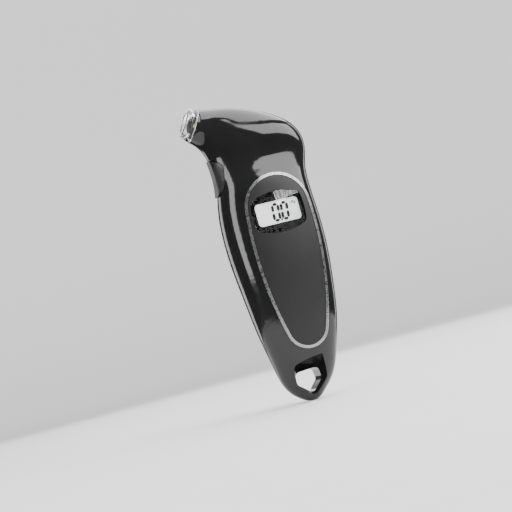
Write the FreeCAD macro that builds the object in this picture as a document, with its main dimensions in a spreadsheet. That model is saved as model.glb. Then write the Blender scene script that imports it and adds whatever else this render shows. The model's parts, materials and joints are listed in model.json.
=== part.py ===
import FreeCAD, Part
import math
import os
import Sketcher

# Digital tire pressure gauge, in millimetres.
# Frame: +Z up along the grip, +X to the right seen from the display side, the display looks along -Y.
# The origin is under the middle of the gauge at the height of its lowest point.
# The nozzle leans up and to the left; its parts are drawn in a local frame whose +Z is the nozzle axis,
# pointing out of the mouth, with zero where the clear tip meets the casing.

Vector = FreeCAD.Vector
Rotation = FreeCAD.Rotation
Placement = FreeCAD.Placement

doc = FreeCAD.newDocument("tire_pressure_gauge")
sheet = doc.addObject("Spreadsheet::Sheet", "Sizes")

DRIVING_SIZES = {
    "wall": 2.4,
    "seam_gap": 0.3,
    "seam_depth": 0.45,
    "valley_left_z": 114.0,
    "valley_right_z": 108.5,
    "valley_depth": 2.2,
    "valley_width": 6.5,
    "nozzle_x": -19.8,
    "nozzle_z": 132.45,
    "nozzle_tilt": 28.0,
    "nozzle_radius": 8.0,
    "tip_length": 4.6,
    "tip_end_radius": 6.55,
    "mouth_radius": 4.4,
    "mouth_floor": 1.4,
    "mouth_chamfer": 0.4,
    "tip_rim_height": 0.6,
    "tip_rim_proud": 0.15,
    "sleeve_radius": 6.2,
    "sleeve_bore": 5.3,
    "sleeve_length": 9.5,
    "collar_radius": 7.2,
    "collar_start": 3.4,
    "collar_end": 4.6,
    "fit_gap": 0.05,
    "seal_radius": 5.25,
    "seal_hole": 2.6,
    "seal_end": 4.4,
    "core_radius": 5.2,
    "core_end": 9.0,
    "core_bore": 1.5,
    "core_step": 8.0,
    "air_bore": 0.9,
    "barb_radius": 2.0,
    "barb_end": 15.5,
    "ring_groove_start": 6.2,
    "ring_groove_end": 7.4,
    "ring_groove_floor": 4.2,
    "ring_wire": 0.52,
    "pin_radius": 1.1,
    "pin_flange_radius": 1.45,
    "pin_flange_height": 0.8,
    "tube_start": 10.2,
    "tube_end": 21.8,
    "tube_radius": 3.2,
    "tube_bore": 2.05,
    "sensor_start": 22.0,
    "sensor_end": 31.0,
    "sensor_radius": 6.5,
    "sensor_port_start": 16.8,
    "sensor_port_radius": 2.0,
    "lamp_radius": 1.2,
    "lamp_rim_radius": 1.4,
    "lamp_start": 9.9,
    "lamp_end": 14.0,
    "lamp_offset": 4.2,
    "lamp_y": -2.1,
    "lead_radius": 0.25,
    "lead_spacing": 1.2,
    "plate_x": 5.5,
    "plate_z": 86.8,
    "plate_tilt": 1.1,
    "plate_top_radius": 15.6,
    "plate_drop": 54.0,
    "plate_low_radius": 10.0,
    "plate_side_radius": 157.0,
    "plate_depth": 1.4,
    "trim_width": 1.2,
    "trim_proud": 0.22,
    "trim_groove": 0.3,
    "trim_groove_depth": 0.25,
    "display_x": 4.7,
    "display_z": 84.8,
    "window_half_width": 11.6,
    "window_half_height": 6.7,
    "window_flat_radius": 27.0,
    "window_side_radius": 30.0,
    "window_corner": 3.0,
    "window_thickness": 1.15,
    "view_half_width": 10.2,
    "view_half_height": 5.15,
    "view_corner": 1.8,
    "glass_half_width": 10.9,
    "glass_half_height": 7.0,
    "glass_front": -10.15,
    "glass_back": -8.1,
    "bezel_gap": 0.1,
    "guide_half_height": 5.6,
    "guide_back": -6.1,
    "strip_height": 1.4,
    "board_front": -4.0,
    "board_back": -2.4,
    "board_left": -10.0,
    "board_notch_left": -8.6,
    "board_notch_z": 95.0,
    "board_right": 15.5,
    "board_low": 58.0,
    "board_top": 111.0,
    "trigger_z": 106.7,
    "trigger_half_height": 8.8,
    "trigger_half_depth": 7.0,
    "trigger_corner": 6.4,
    "trigger_gap": 0.25,
    "trigger_proud": 0.9,
    "trigger_dish_radius": 45.0,
    "trigger_dish_x": -17.05,
    "trigger_lip_z": 1.5,
    "trigger_lip_y": 0.6,
    "trigger_back": 3.6,
    "post_radius": 1.3,
    "post_start": -13.6,
    "post_end": -10.25,
    "switch_front": -8.5,
    "switch_back": -5.0,
    "switch_half": 3.0,
    "switch_y": 0.65,
    "plunger_radius": 1.6,
    "plunger_front": -10.2,
    "plunger_back": -7.4,
    "plunger_room": -5.9,
    "spring_radius": 2.35,
    "spring_wire": 0.25,
    "spring_start": -12.1,
    "spring_turns": 4.0,
    "tray_x": 3.0,
    "tray_floor": 2.8,
    "tray_thickness": 1.2,
    "tray_back": 7.0,
    "coin_z": 54.5,
    "coin_radius": 10.0,
    "coin_height": 3.2,
    "coin_front": 3.6,
    "cell_x": 2.5,
    "cell_y": 0.7,
    "cell_z": 24.6,
    "cell_radius": 5.8,
    "cell_height": 5.4,
    "cell_gap": 0.02,
    "tray_gap": 0.2,
    "contact_sheet": 0.3,
    "cover_half_width": 11.4,
    "cover_low": 16.8,
    "cover_top": 72.0,
    "cover_corner": 6.0,
    "cover_gap": 0.15,
    "cover_thickness": 1.9,
    "cover_screw_low": 22.0,
    "cover_screw_top": 68.4,
    "lug_radius": 2.5,
    "hole_front": -3.0,
    "hole_flare_front": -10.0,
    "hole_corner": 2.2,
    "screw_radius": 1.0,
    "screw_pilot": 1.02,
    "screw_clear": 1.15,
    "screw_head_radius": 2.2,
    "screw_head_height": 1.3,
    "screw_length": 8.0,
    "screw_drive_width": 0.55,
    "screw_drive_length": 2.6,
    "screw_drive_depth": 0.8,
    "counterbore_radius": 2.6,
    "boss_radius": 2.7,
    "boss_floor": 4.6,
    "board_screw_radius": 0.8,
    "board_screw_head": 1.5,
    "board_screw_length": 4.5,
    "pillar_radius": 2.1,
    "wire_radius": 0.5,
}

# The casing outline is a run of sections from the nozzle down to the tail. Each section is a chord from
# the inner (nozzle side) edge to the outer edge, with half the casing's depth and the fullness of its curve.
STATION_COLUMNS = ("inner_x", "inner_z", "outer_x", "outer_z", "depth", "fullness")
STATIONS = (
    (-23.556, 125.386, -16.044, 139.514, 8.0, 2.0),
    (-21.3, 123.4, -9.0, 138.35, 8.9, 2.05),
    (-19.0, 120.0, 2.5, 136.1, 10.3, 2.1),
    (-17.6, 115.8, 15.6, 130.5, 11.9, 2.15),
    (-16.9, 111.0, 26.0, 121.6, 12.7, 2.2),
    (-16.6, 106.5, 28.1, 113.0, 12.8, 2.3),
    (-16.9, 101.0, 25.9, 103.7, 12.9, 2.35),
    (-18.1, 95.0, 25.1, 95.2, 13.2, 2.45),
    (-19.5, 80.0, 25.8, 80.0, 13.6, 2.5),
    (-18.9, 64.0, 25.6, 64.0, 13.5, 2.5),
    (-17.2, 48.0, 24.0, 48.0, 12.6, 2.45),
    (-15.3, 33.0, 21.5, 33.0, 11.2, 2.4),
    (-12.7, 19.0, 17.3, 19.0, 9.3, 2.3),
    (-10.0, 8.5, 12.5, 8.5, 7.3, 2.2),
    (-5.6, 3.0, 7.4, 3.0, 5.3, 2.1),
    (-2.0, 0.7, 4.6, 0.7, 3.1, 2.0),
    (0.2, 0.0, 2.6, 0.0, 1.2, 2.0),
)
SECTION_STEPS = 16
CAVITY_FIRST = 2
CAVITY_LAST = 12
INSET_LAST = 14

# Screws that join the two casing halves, and screws that hold the board: (x, z).
SHELL_SCREWS = ((15.0, 118.0), (-13.2, 84.0), (19.3, 84.0), (-11.2, 31.0), (17.0, 31.0))
BOARD_SCREWS = ((-6.8, 63.0), (12.4, 63.0), (12.6, 104.0))

# Corners of the key-ring hole, straight through and at the wide end of its front flare: (x, z).
HOLE_CORNERS = ((1.4, 3.2), (6.8, 8.8), (6.4, 14.2), (-4.8, 13.6), (-5.0, 8.4))
FLARE_CORNERS = ((1.6, -0.8), (11.0, 8.6), (8.6, 20.2), (-6.4, 18.2), (-7.6, 7.0))


def fill_sheet():
    """Write the driving sizes and the casing stations into the sheet, one alias to each cell."""
    cells = list(DRIVING_SIZES.items())
    for number, station in enumerate(STATIONS):
        for column, value in zip(STATION_COLUMNS, station):
            cells.append(("%s_%d" % (column, number), value))
    for row, (alias, value) in enumerate(cells, start=1):
        sheet.set("A%d" % row, alias)
        sheet.set("B%d" % row, str(value))
        sheet.setAlias("B%d" % row, alias)
    doc.recompute()


class Dim:
    """A number that keeps the sheet expression it was worked out from."""

    def __init__(self, value, text=None):
        self.value = float(value)
        self.text = text or "%.6g" % self.value

    def __add__(self, other):
        other = dim(other)
        return Dim(self.value + other.value, "(%s + %s)" % (self.text, other.text))

    def __sub__(self, other):
        other = dim(other)
        return Dim(self.value - other.value, "(%s - %s)" % (self.text, other.text))

    def __mul__(self, other):
        other = dim(other)
        return Dim(self.value * other.value, "(%s * %s)" % (self.text, other.text))

    def __truediv__(self, other):
        other = dim(other)
        return Dim(self.value / other.value, "(%s / %s)" % (self.text, other.text))

    def __neg__(self):
        return Dim(-self.value, "(0 - %s)" % self.text)

    __radd__ = __add__

    def __rsub__(self, other):
        return dim(other) - self

    __rmul__ = __mul__


def dim(value):
    """Turn a plain number into a Dim; leave a Dim as it is."""
    return value if isinstance(value, Dim) else Dim(value)


def root(value):
    """Square root of a Dim."""
    return Dim(math.sqrt(value.value), "sqrt(%s)" % value.text)


def size(alias):
    """The sheet's value under an alias, as a Dim."""
    return Dim(sheet.get(alias), "Sizes." + alias)


def bind(item, prop, value):
    """Set a property and bind it to its sheet expression."""
    item.setExpression(prop, dim(value).text)


# ---------------------------------------------------------------- primitives and booleans

def block(name, x_range, y_range, z_range):
    """A box between two planes along each axis."""
    item = doc.addObject("Part::Box", name)
    spans = (("Length", "x", x_range), ("Width", "y", y_range), ("Height", "z", z_range))
    for prop, axis, (low, high) in spans:
        bind(item, prop, dim(high) - low)
        bind(item, "Placement.Base." + axis, low)
    return item


def rod(name, radius, base, length, axis=Vector(0, 0, 1)):
    """A cylinder from a base point along an axis."""
    item = doc.addObject("Part::Cylinder", name)
    item.Placement = Placement(Vector(0, 0, 0), Rotation(Vector(0, 0, 1), axis))
    bind(item, "Radius", radius)
    bind(item, "Height", length)
    for letter, value in zip("xyz", base):
        bind(item, "Placement.Base." + letter, value)
    return item


def cut(name, base, *tools):
    """The base with every tool taken away."""
    item = doc.addObject("Part::Cut", name)
    item.Base = base
    item.Tool = tools[0] if len(tools) == 1 else fuse(name + "_tools", *tools)
    return item


def fuse(name, *parts):
    """The parts joined into one shape."""
    item = doc.addObject("Part::MultiFuse", name)
    item.Shapes = list(parts)
    return item


def common(name, *parts):
    """The space that all the parts share."""
    item = doc.addObject("Part::MultiCommon", name)
    item.Shapes = list(parts)
    return item


def group(name, *parts):
    """Separate solids kept side by side as one sub-part."""
    item = doc.addObject("Part::Compound", name)
    item.Links = list(parts)
    return item


def link(name, source, base):
    """The same piece again, moved to another place."""
    item = doc.addObject("App::Link", name)
    item.LinkedObject = source
    item.LinkPlacement = Placement(base, source.Placement.Rotation)
    return item


# ---------------------------------------------------------------- sketched bodies

def make_body(name):
    """An empty PartDesign body."""
    return doc.addObject("PartDesign::Body", name)


def sketch_on(body, name, role, back=0):
    """A sketch on one of the body's own origin planes, moved backwards by an offset."""
    sketch = body.newObject("Sketcher::SketchObject", name)
    planes = [plane for plane in body.Origin.OriginFeatures if plane.Role == role]
    sketch.AttachmentSupport = (planes[0], [""])
    sketch.MapMode = "FlatFace"
    bind(sketch, "AttachmentOffset.Base.z", -dim(back))
    return sketch


def pin_point(sketch, geometry, point, corner):
    """Dimension one sketch point from the sketch origin."""
    for kind, value in zip(("DistanceX", "DistanceY"), corner):
        value = dim(value)
        number = sketch.addConstraint(Sketcher.Constraint(kind, -1, 1, geometry, point, value.value))
        sketch.setExpression("Constraints[%d]" % number, value.text)


def arc_through(start, end, radius):
    """A bulging arc that runs anticlockwise from start to end."""
    half = (end - start) * 0.5
    lift = math.sqrt(radius ** 2 - half.Length ** 2)
    inward = Vector(-half.y, half.x, 0).normalize()
    centre = start + half + inward * lift
    first = math.atan2(start.y - centre.y, start.x - centre.x)
    last = math.atan2(end.y - centre.y, end.x - centre.x)
    return Part.ArcOfCircle(Part.Circle(centre, Vector(0, 0, 1), radius), first, last)


def draw_outline(sketch, corners, radii=None):
    """A closed outline, anticlockwise: straight sides, or arcs where a radius is given."""
    radii = radii or [None] * len(corners)
    points = [Vector(dim(x).value, dim(y).value, 0) for x, y in corners]
    for number, radius in enumerate(radii):
        start = points[number]
        end = points[(number + 1) % len(points)]
        if radius is None:
            sketch.addGeometry(Part.LineSegment(start, end), False)
        else:
            sketch.addGeometry(arc_through(start, end, dim(radius).value), False)
    for number in range(len(points)):
        following = (number + 1) % len(points)
        sketch.addConstraint(Sketcher.Constraint("Coincident", number, 2, following, 1))
        pin_point(sketch, number, 1, corners[number])
    for number, radius in enumerate(radii):
        if radius is not None:
            value = dim(radius)
            row = sketch.addConstraint(Sketcher.Constraint("Radius", number, value.value))
            sketch.setExpression("Constraints[%d]" % row, value.text)


def pad(body, name, sketch, length):
    """Extrude a sketch; on the XZ plane this goes forwards, towards -Y."""
    item = body.newObject("PartDesign::Pad", name)
    item.Profile = sketch
    bind(item, "Length", length)
    doc.recompute()
    return item


def edges_along(feature, direction):
    """Names of the feature's edges that run roughly along a direction."""
    names = []
    for number, edge in enumerate(feature.Shape.Edges, start=1):
        if len(edge.Vertexes) < 2:
            continue
        run = edge.Vertexes[-1].Point - edge.Vertexes[0].Point
        if run.Length > 0 and abs(run.normalize().dot(direction)) > 0.8:
            names.append("Edge%d" % number)
    return names


def round_edges(body, name, feature, direction, radius):
    """Round the edges that run along a direction."""
    item = body.newObject("PartDesign::Fillet", name)
    item.Base = (feature, edges_along(feature, direction))
    bind(item, "Radius", radius)
    doc.recompute()
    return item


def prism(name, corners, y_range, radii=None, rounding=None):
    """A solid drawn as an outline in the XZ plane, between two depths, with rounded corners."""
    body = make_body(name)
    front, back = y_range
    sketch = sketch_on(body, name + "_outline", "XZ_Plane", back)
    draw_outline(sketch, corners, radii)
    feature = pad(body, name + "_pad", sketch, dim(back) - front)
    if rounding is not None:
        round_edges(body, name + "_corners", feature, Vector(0, 1, 0), rounding)
    return body


def frame_corners(x_middle, z_middle, half_width, half_height):
    """Four corners of an upright rectangle, anticlockwise."""
    signs = ((-1, -1), (1, -1), (1, 1), (-1, 1))
    return [(x_middle + half_width * sx, z_middle + half_height * sz) for sx, sz in signs]


def turned(name, profile):
    """A body turned about its own Z axis from (radius, height) corners."""
    body = make_body(name)
    sketch = sketch_on(body, name + "_profile", "XZ_Plane")
    draw_outline(sketch, profile)
    item = body.newObject("PartDesign::Revolution", name + "_turn")
    item.Profile = sketch
    item.ReferenceAxis = (sketch, ["V_Axis"])
    item.Angle = 360
    return body


def aim(item, out=0.0, down=0.0, y=0.0):
    """Put an item drawn about Z onto the nozzle axis, or beside it."""
    turn = "(Sizes.nozzle_tilt)"
    tilt = math.radians(size("nozzle_tilt").value)
    across = Dim(math.cos(tilt), "cos" + turn)
    along = Dim(math.sin(tilt), "sin" + turn)
    item.Placement = Placement(Vector(0, 0, 0), Rotation(Vector(0, 1, 0), size("nozzle_tilt").value - 90))
    bind(item, "Placement.Base.x", size("nozzle_x") - across * out - along * down)
    bind(item, "Placement.Base.y", y)
    bind(item, "Placement.Base.z", size("nozzle_z") + along * out - across * down)
    return item


def on_nozzle(out, down=0.0, y=0.0):
    """A point given in the nozzle's frame: out along its axis, and down across it."""
    tilt = math.radians(size("nozzle_tilt").value)
    x = size("nozzle_x").value - out * math.cos(tilt) - down * math.sin(tilt)
    z = size("nozzle_z").value + out * math.sin(tilt) - down * math.cos(tilt)
    return Vector(x, y, z)


# ---------------------------------------------------------------- casing form

def valley(x, z):
    """How far the casing dips where the barrel of the head meets the grip."""
    left = Vector(-18.0, size("valley_left_z").value, 0)
    right = Vector(24.0, size("valley_right_z").value, 0)
    along = (right - left).normalize()
    away = (Vector(x, z, 0) - left).cross(along).Length
    return size("valley_depth").value * math.exp(-(away / size("valley_width").value) ** 2)


def section_points(number, inset):
    """Points of one front half section, from its outer edge to its inner edge."""
    inner_x, inner_z, outer_x, outer_z, depth, fullness = [
        size("%s_%d" % (column, number)).value for column in STATION_COLUMNS]
    inner = Vector(inner_x, 0, inner_z)
    outer = Vector(outer_x, 0, outer_z)
    middle = (inner + outer) * 0.5
    half = (outer - inner).Length / 2
    along = (outer - inner).normalize()
    points = []
    for step in range(SECTION_STEPS + 1):
        angle = math.pi * step / SECTION_STEPS
        reach = math.copysign(abs(math.cos(angle)) ** (2 / fullness), math.cos(angle))
        point = middle + along * (reach * (half - inset))
        dip = valley(point.x, point.z) * depth / STATIONS[8][4]
        point.y = -(depth - dip - inset) * math.sin(angle) ** (2 / fullness)
        points.append(point)
    points[0].y = 0
    points[-1].y = 0
    return points


def half_form(name, inset, first=0, last=len(STATIONS) - 1):
    """The front half of the casing's outer form, pulled in by an inset, as a closed solid."""
    inset = dim(inset).value
    rows = [section_points(number, inset) for number in range(first, last + 1)]
    surface = Part.BSplineSurface()
    surface.interpolate(rows)
    low_u, high_u, low_v, high_v = surface.bounds()
    faces = [surface.toShape()]
    for u in (low_u, high_u):
        curve = surface.uIso(u)
        chord = Part.LineSegment(surface.value(u, high_v), surface.value(u, low_v))
        faces.append(Part.Face(Part.Wire([curve.toShape(), chord.toShape()])))
    outer = surface.vIso(low_v).toShape()
    inner = surface.vIso(high_v).toShape()
    tail = Part.LineSegment(surface.value(high_u, low_v), surface.value(high_u, high_v)).toShape()
    head = Part.LineSegment(surface.value(low_u, low_v), surface.value(low_u, high_v)).toShape()
    faces.append(Part.Face(Part.Wire(Part.__sortEdges__([outer, tail, inner, head]))))
    shell = Part.Shell(faces)
    shell.sewShape()
    solid = Part.Solid(shell)
    if solid.Volume < 0:
        solid.reverse()
    item = doc.addObject("Part::Feature", name)
    item.Shape = solid
    return item


def mirror(name, source):
    """The same form on the rear side of the parting plane."""
    item = doc.addObject("Part::Mirroring", name)
    item.Source = source
    item.Normal = Vector(0, 1, 0)
    item.Base = Vector(0, 0, 0)
    return item


def whole_form(name, inset, first=0, last=len(STATIONS) - 1):
    """Front and rear halves of an inset form, joined."""
    front = half_form(name + "_front", inset, first, last)
    return fuse(name, front, mirror(name + "_rear", front))


# ---------------------------------------------------------------- shared tools for the casing

def teardrop(name, margin, y_range=(-20.0, 0.0)):
    """The face plate's teardrop outline as a solid through the front, made smaller by a margin."""
    top = size("plate_top_radius")
    low = size("plate_low_radius")
    side = size("plate_side_radius")
    drop = size("plate_drop")
    reach_top = side - top
    reach_low = side - low
    centre_z = (reach_low * reach_low - reach_top * reach_top - drop * drop) / (drop * 2)
    centre_x = root(reach_top * reach_top - centre_z * centre_z)
    grow_top = (top - margin) / reach_top
    grow_low = (low - margin) / reach_low
    right_top = (centre_x * grow_top, -centre_z * grow_top)
    right_low = (centre_x * grow_low, (-drop - centre_z) * grow_low - drop)
    left_top = (-right_top[0], right_top[1])
    left_low = (-right_low[0], right_low[1])
    corners = [left_low, right_low, right_top, left_top]
    radii = [low - margin, side - margin, top - margin, side - margin]
    body = prism(name, corners, y_range, radii)
    body.Placement = Placement(Vector(0, 0, 0), Rotation(Vector(0, 1, 0), size("plate_tilt").value))
    bind(body, "Placement.Base.x", size("plate_x"))
    bind(body, "Placement.Base.z", size("plate_z"))
    return body


def window_prism(name, gap=0.0):
    """The display window's cushion outline as a solid through the front."""
    corners = frame_corners(
        size("display_x"), size("display_z"), size("window_half_width") + gap, size("window_half_height") + gap)
    flat = size("window_flat_radius") + gap
    side = size("window_side_radius") + gap
    return prism(name, corners, (-20.0, -2.0), [flat, side, flat, side], size("window_corner"))


def trigger_prism(name, grow_z, grow_y, x_range):
    """The trigger's oval outline as a solid along X."""
    body = make_body(name)
    sketch = sketch_on(body, name + "_outline", "YZ_Plane", -dim(x_range[0]))
    corners = frame_corners(
        0.0, size("trigger_z"), size("trigger_half_depth") + grow_y, size("trigger_half_height") + grow_z)
    draw_outline(sketch, corners)
    feature = pad(body, name + "_pad", sketch, dim(x_range[1]) - x_range[0])
    round_edges(body, name + "_corners", feature, Vector(1, 0, 0), size("trigger_corner") + grow_y)
    return body


def key_hole(name):
    """The key-ring hole: a straight rounded opening that flares towards the front."""
    straight = prism(name + "_straight", HOLE_CORNERS, (-20.0, 20.0), rounding=size("hole_corner"))
    flare = make_body(name + "_flare")
    narrow = sketch_on(flare, name + "_narrow", "XZ_Plane", size("hole_front"))
    draw_outline(narrow, HOLE_CORNERS)
    wide = sketch_on(flare, name + "_wide", "XZ_Plane", size("hole_flare_front"))
    draw_outline(wide, FLARE_CORNERS)
    loft = flare.newObject("PartDesign::AdditiveLoft", name + "_loft")
    loft.Profile = narrow
    loft.Sections = [wide]
    doc.recompute()
    round_edges(flare, name + "_flare_corners", loft, Vector(0, 1, 0), size("hole_corner"))
    return fuse(name, straight, flare)


def nozzle_socket(name):
    """The bore and the collar groove that hold the nozzle tip in the casing."""
    radius = size("sleeve_radius") + size("fit_gap")
    groove = size("collar_radius") + size("fit_gap")
    near = -size("collar_start") + size("fit_gap")
    far = -size("collar_end") - size("fit_gap")
    profile = [(0, -14), (radius, -14), (radius, far), (groove, far), (groove, near), (radius, near),
               (radius, 1), (0, 1)]
    return aim(turned(name, profile))


def shell_screw_tools(name, kind):
    """Screw holes in the casing: a tight pilot, or a clear hole with a counterbore from the back."""
    floor = size("boss_floor")
    parts = []
    for number, (x, z) in enumerate(SHELL_SCREWS):
        label = "%s_%d" % (name, number)
        if kind == "pilot":
            reach = size("screw_length") - floor + 1
            parts.append(rod(label, size("screw_pilot"), (x, -reach, z), reach, Vector(0, 1, 0)))
        else:
            parts.append(rod(label, size("screw_clear"), (x, 0, z), floor + 1, Vector(0, 1, 0)))
            parts.append(rod(label + "_wide", size("counterbore_radius"), (x, floor, z), 20, Vector(0, 1, 0)))
    return fuse(name, *parts)


def shell_bosses(name, y_start, y_length):
    """The pillars around the casing screws."""
    parts = [rod("%s_%d" % (name, number), size("boss_radius"), (x, y_start, z), y_length, Vector(0, 1, 0))
             for number, (x, z) in enumerate(SHELL_SCREWS)]
    return fuse(name, *parts)


# ---------------------------------------------------------------- casing sub-parts

def make_casing(forms):
    """Front and rear shells: the outer form, hollowed, with every opening cut."""
    front_space = block("front_space", (-40, 40), (-20, 0), (-5, 150))
    seam = block("seam_slab", (-60, 60), (-size("seam_gap") / 2, size("seam_gap") / 2), (-5, 125.0))
    seam_rim = cut("seam_rim", seam, forms["seam_core"])
    hole = key_hole("key_hole")
    socket = nozzle_socket("nozzle_socket")
    trigger_hole = trigger_prism("trigger_hole", 0, 0, (-26.0, -3.0))
    shared = (seam_rim, hole, socket, trigger_hole)

    opening = block(
        "display_opening",
        (size("display_x") - size("glass_half_width") - size("bezel_gap"),
         size("display_x") + size("glass_half_width") + size("bezel_gap")),
        (-20, -2),
        (size("display_z") - size("glass_half_height") - size("bezel_gap"),
         size("display_z") + size("glass_half_height") + size("bezel_gap")))
    plate_space = cut("plate_space", teardrop("plate_pocket", 0), forms["plate_floor"])
    pillars = [rod("pillar_%d" % number, size("pillar_radius"), (x, -15, z), size("board_front") + 15,
                   Vector(0, 1, 0)) for number, (x, z) in enumerate(BOARD_SCREWS)]
    pillar_holes = [rod("pillar_hole_%d" % number, size("board_screw_radius") + 0.02, (x, -8, z), 5,
                        Vector(0, 1, 0)) for number, (x, z) in enumerate(BOARD_SCREWS)]
    inside_front = common("front_inside", fuse("front_pillars", shell_bosses("front_boss", -20, 20), *pillars),
                          forms["plate_floor"])
    front_wall = cut("front_wall", forms["front"], forms["front_cavity"])
    front_raw = fuse("front_raw", front_wall, common("front_supports", inside_front, front_space))
    front = cut("front_shell", front_raw, plate_space, opening, shell_screw_tools("front_pilots", "pilot"),
                *pillar_holes, *shared)

    cover_space = cover_prism("cover_opening", 0.0, (1.0, 20.0))
    rear_wall = cut("rear_wall", forms["rear"], forms["rear_cavity"])
    rear_inside = common("rear_inside", shell_bosses("rear_boss", 0, 20), forms["rear"])
    rear_raw = fuse("rear_raw", rear_wall, rear_inside)
    rear = cut("rear_shell", rear_raw, cover_space, shell_screw_tools("rear_holes", "clear"), *shared)
    return {"front_shell": front, "rear_shell": rear}


def make_face(forms):
    """Face plate, double-line trim ring, clear window and the black mask printed behind it."""
    trim = size("trim_width")
    groove = size("trim_groove")
    outer = teardrop("trim_outer", 0)
    inner = teardrop("trim_inner", trim)
    groove_out = teardrop("groove_outer", (trim - groove) / 2)
    groove_in = teardrop("groove_inner", (trim + groove) / 2)
    groove_ring = cut("groove_ring", groove_out, groove_in)
    groove_cut = cut("groove_cut", groove_ring, forms["trim_groove_floor"])
    band = common("trim_band", cut("trim_blank", outer, inner), forms["trim_top"])
    trim_ring = cut("trim_ring", band, forms["plate_floor"], groove_cut)

    plate_blank = common("plate_blank", teardrop("plate_outline", trim), forms["front"])
    window_hole = window_prism("window_hole", size("fit_gap"))
    face_plate = cut("face_plate", plate_blank, forms["plate_floor"], window_hole)

    lens = common("lens_blank", window_prism("window_outline"), forms["front"])
    display_window = cut("display_window", lens, forms["window_back"])
    mask_blank = common("mask_blank", window_prism("mask_outline"), forms["window_back"])
    view = prism(
        "view_opening",
        frame_corners(size("display_x"), size("display_z"), size("view_half_width"), size("view_half_height")),
        (-20.0, -2.0), rounding=size("view_corner"))
    display_mask = cut("display_mask", mask_blank, forms["plate_floor"], view)

    bezel_blank = block(
        "bezel_blank",
        (size("display_x") - size("glass_half_width"), size("display_x") + size("glass_half_width")),
        (-20, size("glass_front") - 0.02),
        (size("display_z") - size("glass_half_height"), size("display_z") + size("glass_half_height")))
    bezel = cut("lcd_bezel", common("bezel_front", bezel_blank, forms["plate_floor"]), view)
    return {"face_plate": face_plate, "trim_ring": trim_ring, "display_window": display_window,
            "display_mask": display_mask, "lcd_bezel": bezel}


def cover_prism(name, margin, y_range):
    """The battery cover's rounded outline as a solid through the back."""
    low = size("cover_low") + margin
    top = size("cover_top") - margin
    half = size("cover_half_width") - margin
    left = size("tray_x") - half
    right = size("tray_x") + half
    taper = 2.4
    corners = [(left + taper, low), (right - taper, low), (right, top), (left, top)]
    return prism(name, corners, y_range, rounding=size("cover_corner") - margin)


def make_cover(forms):
    """Battery cover that follows the back of the casing, with its two screws."""
    blank = common("cover_blank", cover_prism("cover_outline", size("cover_gap"), (1.0, 20.0)), forms["rear"])
    panel = cut("cover_panel", blank, forms["cover_inner"])
    screw_z = (size("cover_screw_low"), size("cover_screw_top"))
    seats = []
    holes = []
    screws = []
    for number, z in enumerate(screw_z):
        name = "cover_seat_%d" % number
        seat_y = cover_seat(number)
        seat = rod(name, size("lug_radius"), (size("tray_x"), seat_y - 1.2, z), 20, Vector(0, 1, 0))
        seats.append(common(name + "_in", seat, forms["rear"]))
        holes.append(rod(name + "_clear", size("screw_clear"), (size("tray_x"), seat_y - 2, z), 4,
                         Vector(0, 1, 0)))
        holes.append(rod(name + "_head", size("screw_head_radius") + 0.1, (size("tray_x"), seat_y, z), 20,
                         Vector(0, 1, 0)))
    cover = cut("battery_cover", fuse("cover_raw", panel, *seats), *holes)
    screw = make_screw("cover_screw", 5.0)
    screw.Placement = Placement(
        Vector(size("tray_x").value, cover_seat(0), screw_z[0].value), Rotation(Vector(1, 0, 0), 90))
    second = link("cover_screw_top", screw, Vector(size("tray_x").value, cover_seat(1), screw_z[1].value))
    return {"battery_cover": cover, "cover_screws": group("cover_screws", screw, second)}


def cover_seat(number):
    """Depth of the seat under a cover screw's head: the lower one sits where the casing is thinner."""
    return (6.3, 9.6)[number]


# ---------------------------------------------------------------- fasteners

def make_screw(name, length, radius=None, head_radius=None, head_height=None):
    """A cross-recess pan-head screw: its axis is local Z, its head is below zero, its shank goes up."""
    radius = radius or size("screw_radius")
    head_radius = head_radius or size("screw_head_radius")
    head_height = head_height or size("screw_head_height")
    length = dim(length)
    point = radius * 0.4
    body = turned(name, [
        (0, -head_height), (head_radius * 0.8, -head_height), (head_radius, -head_height * 0.5),
        (head_radius, 0), (radius, 0), (radius, length - radius), (point, length), (0, length)])
    doc.recompute()
    drive = sketch_on(body, name + "_drive", "XY_Plane", head_height)
    wide = size("screw_drive_length") * (head_radius.value / size("screw_head_radius").value) / 2
    thin = size("screw_drive_width") / 2
    draw_outline(drive, [
        (-wide, -thin), (-thin, -thin), (-thin, -wide), (thin, -wide), (thin, -thin), (wide, -thin),
        (wide, thin), (thin, thin), (thin, wide), (-thin, wide), (-thin, thin), (-wide, thin)])
    pocket = body.newObject("PartDesign::Pocket", name + "_recess")
    pocket.Profile = drive
    pocket.Reversed = True
    bind(pocket, "Length", size("screw_drive_depth"))
    doc.recompute()
    return body


def screw_set(name, places, seat, length, **shape):
    """Identical screws driven towards the front, their heads seated at one depth."""
    screw = make_screw(name + "_0", length, **shape)
    screw.Placement = Placement(Vector(places[0][0], seat, places[0][1]), Rotation(Vector(1, 0, 0), 90))
    copies = [link("%s_%d" % (name, number), screw, Vector(x, seat, z))
              for number, (x, z) in enumerate(places[1:], start=1)]
    return group(name, screw, *copies)


# ---------------------------------------------------------------- nozzle sub-parts

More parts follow.
